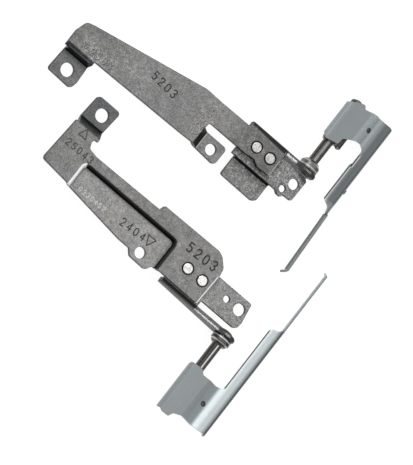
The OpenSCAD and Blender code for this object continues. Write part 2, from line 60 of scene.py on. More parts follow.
# the right hinge is measured from its own far-ear hole, with y running away from the left hinge
RIGHT_ORIGIN = (11.45, -2.45)
RECESS_X = (3.4, 27.5)  # foot of the slope round the recessed panel, in the right hinge's places
RECESS_Y = 10.3
RECESS_R = 0.8          # that foot's corner radius

# across a display bracket, from its shaft's axis
SLOPE_X = 3.5
SLOPE_RUN = 2.2
HOLE_X = SLOPE_X + 0.7 * SLOPE_RUN
HOLE_R = 0.45
STRIP_X = 6.5           # the strip's free inner edge
SLOPE_FALL = 0.9        # how far the slope falls in 1 mm across

LEFT = {
    "axis_x": 52.2,
    "tilt": 0.0,            # how far the display bracket is turned from level
    "away": 1,              # the way along y from the wall to the display bracket
    "wall_x": 46.2,         # where the wall's bare top edge starts
    "wall_y": 16.55,        # the middle of the wall's thickness
    "eye_x": 48.9,          # where the wall widens to the eye
    "collar_y": 17.1,       # the shaft collar's face at the wall
    "collar_width": 2.0,
    "hole_y": 31.4,         # the small hole in the slope
    "arm_y": 13.0,          # where the arm joins the blade
    "free_edge": 13.4,      # end of the strip's free inner edge, from the arm
}
RIGHT = {
    "axis_x": 59.85,
    "tilt": 12.0,
    "away": -1,
    "wall_x": 50.85,
    "wall_y": -19.8,
    "eye_x": 57.3,
    "collar_y": -20.35,
    "collar_width": 1.8,
    "hole_y": -33.65,
    "arm_y": -11.75,
    "free_edge": 16.6,
}


# Materials

def fill(tree, sockets, values):
    """Gives sockets, by name or number, another node's output or a plain value. None leaves a
    socket as it is."""
    for key, value in values.items():
        if isinstance(value, bpy.types.NodeSocket):
            tree.links.new(value, sockets[key])
        elif value is not None:
            sockets[key].default_value = value


def add_node(tree, kind, values, **settings):
    made = tree.nodes.new(kind)
    for name, setting in settings.items():
        setattr(made, name, setting)
    fill(tree, made.inputs, values)
    return made


def color_ramp(tree, value, stops):
    """The colour that value picks between stops, which are pairs of place and colour from 0 to 1."""
    ramp = add_node(tree, "ShaderNodeValToRGB", {0: value})
    elements = ramp.color_ramp.elements
    elements[0].color = stops[0][1]
    elements[1].color = stops[-1][1]
    for at, color in stops[1:-1]:
        elements.new(at).color = color
    return ramp.outputs[0]


def grey(v, warm=0.0):
    return (v * (1 + warm), v * (1 + 0.3 * warm), v * (1 - warm), 1.0)


class Surface:
    """A material of nodes with short calls; positions are millimetres in the part's frame."""

    BUMP_DEPTH = 0.05 * MM
    TONE_SHARE = 0.25    # a ramp's colours end at 1, so it holds this share of each brightness

    def __init__(self, name):
        self.material = bpy.data.materials.new(name)
        self.material.use_nodes = True
        self.tree = self.material.node_tree
        place = self.node("ShaderNodeTexCoord", {}).outputs["Object"]
        self.pos = self.vector("MULTIPLY", place, (1 / MM, 1 / MM, 1 / MM))
        self.x, self.y, self.z = self.split(self.pos)
        self.face = self.node("ShaderNodeNewGeometry", {}).outputs["True Normal"]
        normal = self.node("ShaderNodeVectorTransform", {0: self.face}, vector_type="NORMAL",
                           convert_from="WORLD", convert_to="OBJECT").outputs[0]
        self.ny, self.nz = self.split(normal)[1:]

    def node(self, kind, values, **settings):
        return add_node(self.tree, kind, values, **settings)

    def split(self, vector):
        return self.node("ShaderNodeSeparateXYZ", {0: vector}).outputs

    def vector(self, op, a, b):
        return self.node("ShaderNodeVectorMath", {0: a, 1: b}, operation=op).outputs[0]

    def math(self, op, a, b=None, clamp=False):
        return self.node("ShaderNodeMath", {0: a, 1: b}, operation=op, use_clamp=clamp).outputs[0]

    def chain(self, op, first, *rest):
        """One operation carried on from value to value."""
        for value in rest:
            first = self.math(op, first, value)
        return first

    def add(self, *terms):
        return self.chain("ADD", *terms)

    def minus(self, a, b):
        return self.math("SUBTRACT", a, b)

    def times(self, *factors):
        return self.chain("MULTIPLY", *factors)

    def most(self, *values):
        return self.chain("MAXIMUM", *values)

    def length(self, a, b):
        """The length of a line that runs a one way and b square to it."""
        return self.math("SQRT", self.add(self.times(a, a), self.times(b, b)))

    def clamped(self, v):
        return self.math("MULTIPLY", v, 1.0, clamp=True)

    def span(self, v, lo, hi, a=0.0, b=1.0):
        """A smooth step from a, where v is lo, to b, where v is hi."""
        values = {0: v, 1: lo, 2: hi, 3: a, 4: b}
        return self.node("ShaderNodeMapRange", values, interpolation_type="SMOOTHSTEP").outputs[0]

    def band(self, v, lo, hi, soft):
        """1 where v lies between lo and hi, with soft ends."""
        return self.times(self.span(v, lo - soft, lo + soft), self.span(v, hi + soft, hi - soft))

    def zone(self, x0, x1, y0, y1, soft):
        """1 inside a rectangle seen from above, with soft sides."""
        return self.times(self.band(self.x, x0, x1, soft), self.band(self.y, y0, y1, soft))

    def spot(self, x, y, half_x, half_y):
        """1 at the middle of an ellipse seen from above, fading to 0 at its outline."""
        a = self.math("DIVIDE", self.minus(self.x, x), half_x)
        b = self.math("DIVIDE", self.minus(self.y, y), half_y)
        return self.span(self.length(a, b), 1.0, 0.5)

    def moved(self, by, at=None):
        """Positions moved by a vector, for another stretch of the same noise."""
        return self.vector("ADD", self.pos if at is None else at, by)

    def stretched(self, angle, along, across, shift=0.0):
        """Positions turned about Z and stretched, for scratches that run one way."""
        values = {
            0: self.pos,
            "Location": (shift, shift * 0.7, 0),
            "Rotation": (0, 0, math.radians(angle)),
            "Scale": (along, across, across),
        }
        return self.node("ShaderNodeMapping", values, vector_type="TEXTURE").outputs[0]

    def noise(self, scale, detail, rough, warp=0.0, at=None):
        values = {
            "Vector": self.pos if at is None else at,
            "Scale": scale,
            "Detail": detail,
            "Roughness": rough,
            "Distortion": warp,
        }
        return self.node("ShaderNodeTexNoise", values).outputs["Fac"]

    def cells(self, scale):
        return self.node("ShaderNodeTexVoronoi", {"Vector": self.pos, "Scale": scale}).outputs["Distance"]

    def ridge(self, scale, width, warp, at=None, detail=1):
        """Thin curved lines where a noise field crosses its middle."""
        field = self.noise(scale, detail, 0.4, warp, at)
        return self.span(self.math("ABSOLUTE", self.minus(field, 0.5)), 0.0, width, 1.0, 0.0)

    def patches(self, scale, lo, hi, shift, at=None):
        """Soft patches: 0 where a noise field is below lo and 1 where it is above hi."""
        return self.span(self.noise(scale, 2, 0.5, 0, self.moved(shift, at)), lo, hi)

    def scuffs(self, scale, width, shift):
        """Short curved scratches, crossing every way."""
        at = self.moved((shift, shift * 0.6, 0.0))
        curled = self.ridge(scale, width, 1.6, at)
        straighter = self.ridge(scale * 1.4, width, 0.6, self.moved((13.0, 29.0, 0.0), at), 2)
        gate = self.patches(scale * 0.9, 0.44, 0.6, (7.0, 3.0, 0.0), at)
        return self.times(self.most(curled, straighter), gate)

    def bevel(self, r):
        return self.node("ShaderNodeBevel", {"Radius": r * MM}, samples=6).outputs[0]

    def edge(self, r):
        """1 near an edge of the solid, 0 on its faces."""
        dot = self.node("ShaderNodeVectorMath", {0: self.bevel(r), 1: self.face}, operation="DOT_PRODUCT")
        return self.span(dot.outputs["Value"], 0.995, 0.86)

    def crevice_shade(self, reach, low=0.25):
        """Painted shade in narrow gaps and under laps: low in them, 1 in the open."""
        occlusion = self.node("ShaderNodeAmbientOcclusion", {"Distance": reach * MM}, samples=8)
        return self.span(occlusion.outputs["AO"], 0.45, 0.98, low, 1.0)

    def tones(self, v, points):
        """The brightness that v picks between points, which are pairs of a value of v and a
        brightness. The ramp's input is a smooth step over v, so its stops are placed on that curve."""
        start, end = points[0][0], points[-1][0]
        stops = []
        for at, tone in points:
            t = (at - start) / (end - start)
            stops.append((t * t * (3 - 2 * t), grey(tone * self.TONE_SHARE)))
        ramp = color_ramp(self.tree, self.span(v, start, end), stops)
        return self.times(self.split(ramp)[0], 1 / self.TONE_SHARE)

    def mix(self, fac, a, b):
        values = {0: fac, 6: a, 7: b}    # a colour mix takes its colours at 6 and 7 and gives one at 2
        return self.node("ShaderNodeMix", values, data_type="RGBA").outputs[2]

    def painted(self, color, mask, new, share=None):
        """The colour with a new one over it where mask is 1, or only a share of the new one."""
        return self.mix(mask if share is None else self.times(mask, share), color, new)

    def shaded(self, color, fac):
        return self.node("ShaderNodeVectorMath", {0: color, "Scale": fac}, operation="SCALE").outputs[0]

    def raised(self, color, mask, by):
        """The colour times 1 + by where mask is 1; by is below 0 where it gets darker."""
        return self.shaded(color, self.add(1.0, self.times(mask, by)))

    def finish(self, color, rough, height, strength, round_r, metal=1.0):
        """Fills the shader: height gives the bumps, and round_r rounds the edges in the light."""
        bump = self.node("ShaderNodeBump", {
            "Strength": strength,
            "Distance": self.BUMP_DEPTH,
            "Height": height,
            "Normal": self.bevel(round_r) if round_r else None,
        })
        fill(self.tree, self.tree.nodes["Principled BSDF"].inputs, {
            "Base Color": color,
            "Roughness": rough,
            "Metallic": metal,
            "Normal": bump.outputs[0],
        })
        return self.material


def tumbled(name, face, coarse, relief, marks):
    """Grey steel from the tumbling barrel: mottled faces with a web of small dents and light
    scratches, dark bends and side faces (partly their own smooth finish, partly painted shade),
    painted shade along the edges and in gaps, and brighter rubbed arrises. marks is a function
    that adds what one kind of piece has of its own, with painted light and shade."""
    m = Surface(name)
    mottle = m.noise(0.5, 4, 0.6)
    grain = m.noise(3.6 / coarse, 3, 0.65)
    fine = m.noise(9.0 / coarse, 2, 0.6)
    wide_web = m.ridge(1.5 / coarse, 0.02, 0.9, detail=2)
    fine_web = m.ridge(2.4 / coarse, 0.022, 1.3, m.moved((31.0, 7.0, 3.0)), 2)
    web = m.times(m.most(wide_web, m.times(fine_web, 0.8)), m.patches(0.7, 0.42, 0.6, (5.0, 17.0, 9.0)))
    scratch = m.ridge(1.0, 0.014, 0.2, m.stretched(33, 3.5, 0.5))
    cross_scratch = m.ridge(1.0, 0.014, 0.3, m.stretched(-48, 3.0, 0.55, 9))
    scratches = m.times(m.most(scratch, cross_scratch), m.patches(0.9, 0.46, 0.6, (25.0, 7.0, 1.0)))
    lines = m.most(web, scratches)
    tone = m.add(
        m.times(m.minus(mottle, 0.5), 0.65),
        m.times(m.minus(grain, 0.5), 1.7),
        m.times(m.minus(fine, 0.5), 1.2),
        m.times(lines, 0.5),
        0.42,
    )
    face_color = m.mix(m.clamped(tone), grey(face * 0.5, 0.01), grey(face * 1.75, 0.012))
    cool = m.vector("MULTIPLY", face_color, (0.99, 1.0, 1.01))
    warm = m.vector("MULTIPLY", face_color, (1.008, 1.004, 0.97))
    face_color = m.mix(m.span(m.noise(0.22, 2, 0.5), 0.35, 0.65), cool, warm)
    flat = m.span(m.math("ABSOLUTE", m.nz), 0.86, 0.985)
    # bends and side faces near black: partly their own smooth finish, partly painted shade
    color = m.mix(flat, grey(0.03, -0.04), face_color)
    # painted shade along the edges
    color = m.shaded(color, m.span(m.edge(0.26), 0.0, 1.0, 1.0, 0.38))
    rub = m.times(m.edge(0.06), m.span(grain, 0.35, 0.6))
    color = m.painted(color, rub, grey(face * 2.2), 0.45)
    # painted shade in gaps and under laps
    color = m.shaded(color, m.crevice_shade(1.1))
    color, lines, metal = marks(m, color, grain, lines, flat)
    rough = m.add(0.32, m.times(grain, 0.2), m.times(mottle, 0.1))
    rough = m.minus(rough, m.times(lines, 0.12))
    height = m.add(m.times(grain, 0.5), m.times(fine, 0.25), m.times(lines, 0.55 * relief))
    return m.finish(color, rough, height, 0.5 * relief, 0.18, metal)


def left_ear_bend_shade(m, color):
    """Painted shade on the left bracket's two screw-ear bends, each with a painted highlight line."""
    far_bend_shade = m.zone(-4.5, 3.6, *EAR_BEND_Y, 0.12)
    far_glint = m.zone(-3.2, 2.2, 3.42, 3.58, 0.05)
    mid_bend_shade = m.zone(28.95, 30.5, 4.9, 9.2, 0.12)
    mid_glint = m.zone(30.62, 30.86, 5.1, 9.0, 0.05)
    # painted shade on each bend, and a painted highlight line along it
    color = m.painted(color, far_bend_shade, grey(0.024, -0.12), 0.9)
    color = m.painted(color, far_glint, grey(0.2, -0.06), 0.55)
    color = m.painted(color, mid_bend_shade, grey(0.022, -0.05), 0.9)
    return m.painted(color, mid_glint, grey(0.62), 0.7)


def far_ears(m, color, x, y):
    """The far ears are darker than the rest, and the right one's slope has painted shade, from a dark
    line at its foot up to the body's grey. x and y are the right hinge's own."""
    low = m.span(m.z, EAR_Z + 0.4, EAR_Z + 0.1)
    left_ear = m.times(m.zone(-5.0, 4.5, -5.0, EAR_BEND_Y[0], 0.1), low)
    color = m.painted(color, left_ear, m.vector("MULTIPLY", color, (0.72, 0.725, 0.74)))
    right_ear = m.times(m.band(x, -3.6, 3.1, 0.1), m.span(y, 2.8, 2.6), low)
    color = m.painted(color, right_ear, m.vector("MULTIPLY", color, (0.58, 0.595, 0.62)))
    # painted shade on the right far ear's slope, dark at its foot and rising to the body's grey
    slope = m.times(m.band(x, -3.7, 2.6, 0.1), m.band(y, 2.75, 4.55, 0.15))
    slope_shade = m.mix(m.span(y, 2.9, 4.6), grey(0.05, -0.03), grey(0.17))
    color = m.painted(color, slope, slope_shade)
    foot_shade_line = m.times(m.band(x, -3.6, 2.6, 0.1), m.band(y, 2.55, 2.95, 0.1))
    return m.painted(color, foot_shade_line, grey(0.015), 0.9)


def recess_marks(m, color, x, y):
    """The slope round the right bracket's recessed panel: painted shade at its foot, on the top
    beside it and as a shadow on the panel, a painted highlight at its near end, and a lighter
    panel inside. Gives the colour and where the painted highlight is."""
    dx = m.most(m.minus(RECESS_X[0] + RECESS_R, x), m.minus(x, RECESS_X[1] - RECESS_R), 0.0)
    dy = m.most(m.minus(RECESS_Y + RECESS_R, y), 0.0)
    out = m.minus(m.length(dx, dy), RECESS_R)    # distance out from the slope's foot
    round_corner = m.minus(dx, dy)
    here = m.times(m.span(m.z, PANEL_Z - 0.3, PANEL_Z - 0.1), m.span(y, 8.5, 9.0))
    near = m.times(m.span(round_corner, -0.35, 0.15), m.span(x, 5.0, 4.0))
    far = m.times(m.span(round_corner, -0.1, 0.3), m.span(x, 26.0, 26.6))
    side = m.times(m.minus(1.0, near), m.minus(1.0, far), m.band(x, 2.0, 29.0, 0.5), here)
    near = m.times(near, here)
    far = m.times(far, here)
    # painted shade on the top beside the slope, and a painted shadow on the panel at its foot
    color = m.raised(color, m.times(side, m.band(out, 0.3, 0.7, 0.45)), -0.5)
    color = m.raised(color, m.times(m.add(side, far), m.band(out, -0.35, 0.2, 0.2)), -0.3)
    # painted shade on the slope, darkest at its foot
    foot = m.mix(m.span(out, 0.12, 0.6), grey(0.010), grey(0.085))
    color = m.painted(color, m.times(side, m.band(out, -0.05, 0.5, 0.06)), foot)
    color = m.painted(color, m.times(far, m.band(out, 0.16, 0.6, 0.08)), grey(0.10))
    # painted highlight on the slope's near end
    lit = m.times(near, m.band(out, 0.0, 0.95, 0.08))
    color = m.painted(color, lit, grey(0.92))
    panel = m.times(m.band(m.z, PANEL_Z - 0.2, PANEL_Z + 0.1, 0.05), m.span(out, 0.0, -0.2))
    return m.raised(color, panel, 0.3), lit


def darker_ends(m, color):
    """The left bracket's riveted end and both far ends are darker, and a band of painted shade over
    the left wall stands in for a rolled edge."""
    top = m.span(m.z, BASE_Z - 0.7, BASE_Z - 0.4)
    riveted_end = m.times(top, m.span(m.y, 0.0, 1.0), m.span(m.x, 33.0, 36.0))
    color = m.raised(color, riveted_end, -0.27)
    far_end = m.times(top, m.span(m.x, 11.0, 5.0))
    color = m.raised(color, far_end, -0.13)
    # a dark band of painted shade over the left wall, standing in for a rolled edge
    edge_line = m.add(m.y, m.times(m.x, 0.047))
    rolled = m.times(m.span(edge_line, 17.6, 17.74), m.band(m.x, 36.3, 45.5, 0.1), top)
    return m.painted(color, rolled, grey(0.024, -0.05), 0.92)


def rubbed_ends(m, color, x, y, grain):
    """The rubbed end edges of both brackets, along lines that lean a little."""
    right_end_x = m.minus(39.41, m.times(y, 0.042))
    right_edge = m.times(m.band(m.minus(x, right_end_x), -0.3, 0.2, 0.05), m.span(y, 9.6, 10.2))
    left_end_x = m.add(45.54, m.times(m.y, 0.016))
    left_edge = m.band(m.minus(m.x, left_end_x), -0.2, 0.2, 0.05)
    left_edge = m.times(left_edge, m.band(m.y, 9.8, 14.0, 0.4), 0.5)
    rubbed = m.times(m.most(right_edge, left_edge), m.span(grain, 0.25, 0.45, 0.55, 1.0))
    return m.painted(color, rubbed, grey(0.8), 0.9)


# Scratched places on the base brackets: middle x and y, half length, half width, strength
WORN_PLACES = (
    (3.0, 6.3, 7.5, 3.2, 1.0),
    (28.2, 10.5, 3.2, 6.5, 1.0),
    (36.0, 13.4, 9.0, 3.4, 0.6),
    (10.5, 9.5, 5.0, 3.0, 0.8),
    (45.0, -12.6, 10.0, 7.0, 0.4),
)


def base_marks(m, color, grain, lines, flat):
    """What the base brackets have of their own: ears and recess with painted shade and highlights, darker
    and rubbed ends, and scratched places.
    """
    x = m.minus(m.x, RIGHT_ORIGIN[0])
    y = m.minus(RIGHT_ORIGIN[1], m.y)
    color = left_ear_bend_shade(m, color)
    color = far_ears(m, color, x, y)
    color, lit = recess_marks(m, color, x, y)
    color = darker_ends(m, color)
    color = rubbed_ends(m, color, x, y, grain)
    places = [m.times(m.spot(*place), strength) for *place, strength in WORN_PLACES]
    worn = m.times(m.most(*places), m.scuffs(1.1, 0.035, 0.0), flat)
    color = m.painted(color, worn, grey(0.6), 0.75)
    return color, m.most(lines, worn), m.minus(1.0, lit)


def wall_top(m, color, grain, side, shine, line):
    """A wall's sheared top edge: torn dark metal with a bright burnished line, a fainter second one
    near its start, and painted shade over the eye. line is the bright line's place across it."""
    start_x = side["wall_x"]
    across = m.times(m.minus(m.y, side["wall_y"]), side["away"])
    level = m.band(m.z, WALL_Z - 0.2, WALL_Z + 0.2, 0.05)
    top = m.times(level, m.band(across, -WALL_HALF, WALL_HALF, 0.03))
    top = m.times(top, m.span(m.x, start_x - 0.1, start_x + 0.1))
    color = m.painted(color, top, m.mix(grain, grey(0.03), grey(0.26)), 0.85)
    # painted shade over the eye
    eye = m.span(m.x, side["eye_x"], side["eye_x"] + 0.6)
    color = m.painted(color, m.times(top, eye), m.mix(grain, grey(0.05, -0.08), grey(0.1)), 0.9)
    top = m.times(top, m.minus(1.0, eye))
    jagged = m.add(across, m.times(m.minus(grain, 0.5), 0.6))
    bright = m.times(top, m.band(jagged, line - 0.17, line + 0.17, 0.07))
    color = m.painted(color, bright, grey(shine))
    near_start = m.span(m.x, start_x + 4.5, start_x + 1.5)
    second = m.times(top, near_start, m.band(jagged, -0.5, -0.3, 0.07))
    return m.painted(color, second, grey(0.5 * shine))


def plate_marks(m, color, grain, lines, flat):
    """What the hinge plates have of their own: dents and scratches, most on the left plate, painted
    shade beside the left slot, where the plate bends down, painted light on the right wall's outer
    face, and the walls' top edges."""
    between = (-6.0, 4.0)    # y from the right plate to the left one
    worn = m.most(
        m.scuffs(1.3, 0.034, 0.0),
        m.times(m.scuffs(1.9, 0.036, 40.0), 0.9),
        m.times(m.scuffs(1.0, 0.028, 90.0), 0.9),
    )
    worn = m.times(worn, flat, m.span(m.y, *between, 0.45, 1.0))
    dent_field = m.noise(2.1, 2, 0.6, 0.8, m.moved((3.0, 50.0, 0.0)))
    dents = m.times(m.span(dent_field, 0.58, 0.7), flat, m.span(m.y, *between, 0.4, 1.0))
    color = m.raised(color, dents, -0.55)
    color = m.shaded(color, m.span(m.y, *between, 1.08, 0.84))
    color = m.painted(color, worn, grey(0.72), 0.9)
    # painted shade beside the left slot, where the plate bends down toward the wall
    slot_line = m.add(m.y, m.times(m.minus(m.x, 49.0), 0.33))
    slot_shade = m.times(m.span(slot_line, 14.4, 15.3), m.band(m.x, 45.6, 53.2, 0.3))
    slot_shade = m.times(slot_shade, m.span(m.z, WALL_Z + 0.2, WALL_Z + 0.5))
    color = m.painted(color, slot_shade, m.mix(grain, grey(0.02, -0.1), grey(0.09, -0.08)), 0.85)
    # painted light on the right wall's outer face, against the painted shade of other side faces
    outer_face_light = m.times(m.span(m.ny, -0.3, -0.7), m.span(m.y, -20.0, -20.2))
    color = m.painted(color, outer_face_light, grey(0.1, 0.01), 0.9)
    color = wall_top(m, color, grain, LEFT, shine=1.0, line=-0.08)
    color = wall_top(m, color, grain, RIGHT, shine=0.75, line=0.28)
    return color, m.most(lines, worn), 1.0


def turned_steel(name, side, collar_share, highlight_share, shine):
    """Dark oiled shaft steel with fine rings from the lathe, painted highlight rings on the collar and
    a long painted highlight on the flat. shine is that highlight's two sides, from the axis, and its
    strength."""
    m = Surface(name)
    rings = m.noise(1.0, 3, 0.6, 0, m.vector("MULTIPLY", m.pos, (0.25, 9.0, 0.25)))
    stain = m.noise(1.1, 4, 0.6, 0.4)
    fine = m.noise(11, 2, 0.5)
    tone = m.add(m.times(rings, 0.5), m.times(stain, 0.6), -0.05)
    color = m.mix(m.clamped(tone), grey(0.03, 0.05), grey(0.17, 0.04))
    width = side["collar_width"]
    along = m.times(m.minus(m.y, side["collar_y"]), side["away"])
    collar = m.band(along, 0.0, width, 0.05)
    # painted highlight rings on the collar
    first_highlight = m.band(along, 0.18 * width, 0.3 * width, 0.06)
    second_highlight = m.band(along, 0.68 * width, 0.82 * width, 0.06)
    ring_highlight = m.most(first_highlight, m.times(second_highlight, 0.8))
    color = m.painted(color, collar, grey(0.34, 0.02), collar_share)
    color = m.painted(color, ring_highlight, grey(0.7, 0.03), highlight_share)
    flat = m.band(along, width + FLAT_Y[0], width + FLAT_Y[1], 0.1)
    flat = m.times(flat, m.span(m.nz, 0.5, 0.8))
    color = m.raised(color, flat, -0.3)
    off = m.minus(m.x, side["axis_x"])
    # painted highlight along the flat
    flat_highlight = m.times(m.band(off, shine[0], shine[1], 0.08), m.span(stain, 0.3, 0.5, 0.5, 1.0), flat)
    color = m.painted(color, flat_highlight, grey(0.8, 0.03), shine[2])
    color = m.painted(color, m.edge(0.12), grey(0.5), 0.5)
    rough = m.add(0.22, m.times(stain, 0.22))
    height = m.add(m.times(rings, 0.7), m.times(fine, 0.3))
    metal = m.minus(1.0, m.times(ring_highlight, 0.5))
    return m.finish(color, rough, height, 0.3, 0.14, metal)


def leaf_steel():
    """Blackened spring steel of the friction leaves, with grease."""
    m = Surface("leaf_steel")
    stain = m.noise(1.6, 4, 0.6, 0.5)
    fine = m.noise(9, 3, 0.6)
    color = m.mix(stain, grey(0.03), grey(0.11, 0.04))
    color = m.painted(color, m.edge(0.07), grey(0.34), 0.6)
    rough = m.add(0.2, m.times(fine, 0.25))
    return m.finish(color, rough, fine, 0.25, 0.08)


def swaged_steel():
    """Bright rivet heads, pressed flat by the riveting tool, faintly dimpled and a little brighter
    on the right hinge, with painted shade on their sides."""
    m = Surface("rivet_steel")
    cloud = m.noise(2.2, 3, 0.6)
    fine = m.noise(10, 3, 0.6)
    dimples = m.span(m.cells(2.4), 0.05, 0.4)
    clear = m.span(m.noise(1.7, 3, 0.65, 0.4, m.moved((4.0, 2.0, 0.0))), 0.36, 0.62)
    color = m.mix(cloud, grey(0.6, 0.03), grey(0.82, 0.035))
    color = m.mix(clear, grey(0.46, 0.03), color)
    color = m.raised(color, m.span(m.y, -6.0, -8.0), 0.45)
    # painted shade on the heads' sides
    color = m.mix(m.span(m.nz, 0.3, 0.9), grey(0.06), color)
    rough = m.add(0.3, m.times(fine, 0.2))
    height = m.add(m.times(dimples, 0.5), m.times(fine, 0.3))
    return m.finish(color, rough, height, 0.3, 0.12)


def satin_plate(name, side, tones, cut_width, cut_step, strip_end, flank_shade, crest):
    """Pale satin plating on the display brackets, with a faint grain and painted light and shade:
    highlights on the bends, a long soft shine in the hollow between slope and strip, highlights on
    the edges, and shade in gaps, round the small hole and on the arm's flanks.

    tones gives the painted light and shade across the bracket. cut_step moves the dark cut along
    the strip's free edge away from the shaft at its far end, and strip_end brightens the strip's end
    beside the arm. flank_shade is the painted shade on the arm's sides and crest the painted light
    on its upper edge."""
    m = Surface(name)
    tilt = math.radians(side["tilt"])
    level_x = m.times(m.minus(m.x, side["axis_x"]), math.cos(tilt))
    across = m.add(level_x, m.times(m.add(m.z, -AXIS_Z), math.sin(tilt)))
    along = m.times(m.minus(m.y, side["arm_y"]), side["away"])

    grain = m.noise(1.0, 3, 0.6, 0, m.vector("MULTIPLY", m.pos, (7.0, 0.7, 7.0)))
    cloud = m.noise(0.35, 3, 0.5)
    speck = m.noise(3.0, 3, 0.6)
    fine = m.noise(14, 2, 0.5)
    nick = m.times(m.ridge(0.9, 0.006, 0.8), m.patches(0.5, 0.52, 0.66, (3.0, 1.0, 8.0)))
    strip = m.span(across, 3.6, 4.6)
    tone = m.add(m.times(grain, 0.55), m.times(cloud, 0.5), -0.02, m.times(m.minus(speck, 0.5), strip, 1.2))
    color = m.mix(m.clamped(tone), (0.24, 0.262, 0.268, 1), (0.30, 0.326, 0.334, 1))
    # painted light and shade across the bracket, facet by facet
    color = m.shaded(color, m.tones(across, tones))
    color = m.painted(color, nick, grey(0.6), 0.35)
    # painted highlight along the edges
    color = m.painted(color, m.edge(0.1), grey(0.62), 0.45)
    # painted shade in gaps
    color = m.shaded(color, m.crevice_shade(0.8, 0.6))

    # painted shade round the small hole, for its wall
    from_hole = m.length(m.minus(across, HOLE_X), m.minus(m.y, side["hole_y"]))
    color = m.painted(color, m.span(from_hole, HOLE_R + 0.17, HOLE_R + 0.05), grey(0.05))

    # the arm: painted shade on the flanks either side of its upper edge, and painted light on that edge
    arm = m.span(along, 0.4, -0.1)
    color = m.painted(color, m.times(arm, m.span(m.nz, 0.8, 0.5)), m.shaded(color, flank_shade))
    color = m.painted(color, m.times(arm, m.span(m.nz, 0.6, 0.9)), m.shaded(color, crest))

    # the strip's end, then its free inner edge: a dark cut with a painted highlight line beside it
    color = m.raised(color, m.band(along, 0.2, 2.2, 0.3), strip_end)
    cut = m.minus(across, m.times(m.span(along, 10.3, 10.6), cut_step))
    free = m.band(along, 1.5, side["free_edge"], 0.3)
    edge_highlight = m.times(m.band(cut, STRIP_X + 0.2, STRIP_X + 0.45, 0.05), free)
    color = m.painted(color, edge_highlight, grey(0.7), 0.6)
    dark_cut = m.times(m.band(cut, STRIP_X - 0.2, STRIP_X + cut_width, 0.03), free)
    color = m.painted(color, dark_cut, grey(0.03), 0.9)

    panel_bend = m.span(m.math("ABSOLUTE", m.add(across, 1.9)), 0.9, 0.5)
    bend = m.most(panel_bend, m.band(across, 2.9, 6.3, 0.2))
    rough = m.add(0.3, m.times(grain, 0.12), m.times(fine, 0.06), m.times(bend, 0.25))
    height = m.add(m.times(grain, 0.5), m.times(fine, 0.4))
    return m.finish(color, rough, height, 0.12, 0.12)


# Painted light and shade across the display brackets: place from the axis, brightness
LEFT_LIGHT_ACROSS = (
    (-3, 1.5), (-2.1, 1.5), (-1.3, 1.0), (2.9, 1.0), (3.4, 1.7), (3.8, 1.9), (5.4, 1.7), (5.9, 1.7),
    (6.6, 1.0), (6.9, 1.0), (7.1, 0.8), (7.3, 0.68), (7.5, 0.56), (8.1, 0.56), (8.5, 0.66), (10, 0.7),
)
RIGHT_LIGHT_ACROSS = (
    (-3, 1.5), (-2.1, 1.5), (-1.3, 0.95), (3.0, 0.92), (4.2, 1.4), (5.5, 1.5), (6.1, 2.8), (6.9, 2.5),
    (7.2, 2.04), (7.4, 1.84), (8.0, 1.84), (8.4, 1.53), (8.6, 1.1), (8.8, 0.8), (9.0, 0.45), (10, 0.4),
)

base_steel = tumbled("base_steel", 0.222, 1.0, 1.0, base_marks)
plate_steel = tumbled("plate_steel", 0.245, 1.2, 1.7, plate_marks)
left_satin = satin_plate("satin_plate_left", LEFT, LEFT_LIGHT_ACROSS,
                         cut_width=0.14, cut_step=0.3, strip_end=0.5, flank_shade=0.23, crest=1.2)
right_satin = satin_plate("satin_plate_right", RIGHT, RIGHT_LIGHT_ACROSS,
                          cut_width=0.26, cut_step=0.0, strip_end=0.0, flank_shade=0.42, crest=1.8)
left_dark = turned_steel("dark_steel_left", LEFT, 0.35, 0.6, (-0.35, 0.2, 0.35))
right_dark = turned_steel("dark_steel_right", RIGHT, 0.0, 0.9, (-0.05, 0.22, 0.9))
rivet_steel = swaged_steel()
dark_spring = leaf_steel()

for side, shaft, satin in (("left_", left_dark, left_satin), ("right_", right_dark, right_satin)):
    materials = {
        "base_bracket": base_steel,
        "hinge_plate": plate_steel,
        "rivets": rivet_steel,
        "shaft": shaft,
        "front_washer": dark_spring,
        "friction_leaves": dark_spring,
        "leaf_pin": rivet_steel,
        "spring_washers": dark_spring,
        "shaft_nut": shaft,
        "display_bracket": satin,
    }
    for part, material in materials.items():
        slots = nodes[side + part].data.materials
        slots.clear()
        slots.append(material)


# Stamped and printed marks: plain triangles pointing at the screw holes, and plain numbers

def stroke(name, lo, hi):
    """Dull ink or metal, mottled between two greys."""
    m = Surface(name)
    n = m.noise(7, 3, 0.6)
    color = m.mix(m.span(n, 0.35, 0.65), grey(lo), grey(hi))
    return m.finish(color, m.add(0.5, m.times(n, 0.2)), n, 0.3, 0, 0.6)


mark_mat = stroke("stamped_mark", 0.015, 0.07)
soft_mat = stroke("stamped_soft", 0.05, 0.13)
lit_mat = stroke("stamped_light", 0.3, 0.75)
faint_mat = stroke("stamped_faint", 0.1, 0.36)
print_mat = stroke("printed", 0.42, 0.75)

